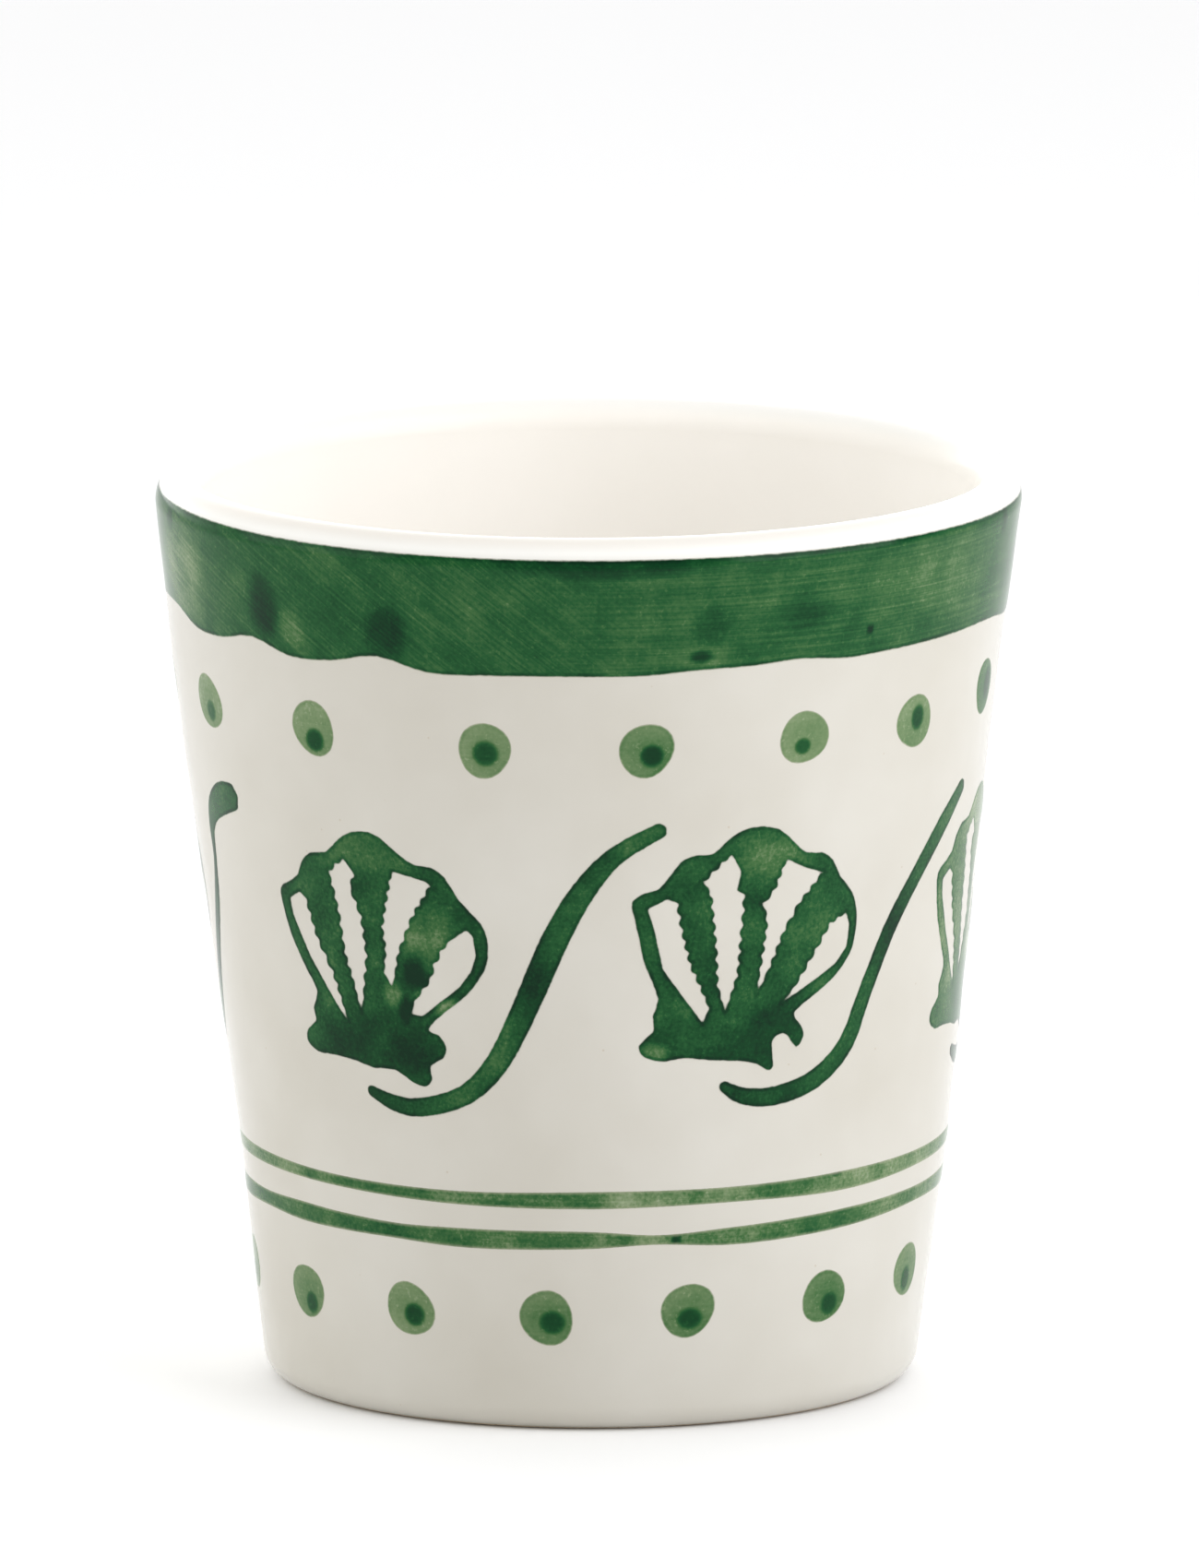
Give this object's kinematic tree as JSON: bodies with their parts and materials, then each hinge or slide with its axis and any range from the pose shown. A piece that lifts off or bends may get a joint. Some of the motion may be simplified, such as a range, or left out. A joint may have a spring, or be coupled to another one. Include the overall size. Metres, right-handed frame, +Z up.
{
  "type": "handleless stoneware mug",
  "caption": "Tapered handleless mug of thick glazed stoneware, hand painted with a green rim band, dots, scallop shells, wave strokes and lines; stands free on a bare clay foot ring.",
  "frame": {"origin": "centre of the foot, on the plane that the mug stands on", "axes": "+Z up along the axis of the mug; -Y is the side with two whole shells in view, +X to its right"},
  "size_m": [0.0902, 0.0902, 0.0955],
  "materials": {
    "stoneware": "bare fired clay, matt and slightly gritty",
    "white_glaze": "glossy opaque warm white glaze",
    "green_paint": "brushed green colour fired under a clear gloss"
  },
  "bodies": {
    "root": {"clay_body": "stoneware", "inner_glaze": "white_glaze", "outer_glaze": "white_glaze", "base_glaze": "white_glaze", "rim_band": "green_paint", "upper_dots": "green_paint", "shell_1": "green_paint", "shell_2": "green_paint", "shell_3": "green_paint", "shell_4": "green_paint", "shell_5": "green_paint", "shell_6": "green_paint", "wave_1": "green_paint", "wave_2": "green_paint", "wave_3": "green_paint", "wave_4": "green_paint", "wave_5": "green_paint", "wave_6": "green_paint", "upper_line": "green_paint", "lower_line": "green_paint", "lower_dots": "green_paint"}
  },
  "joints": []
}
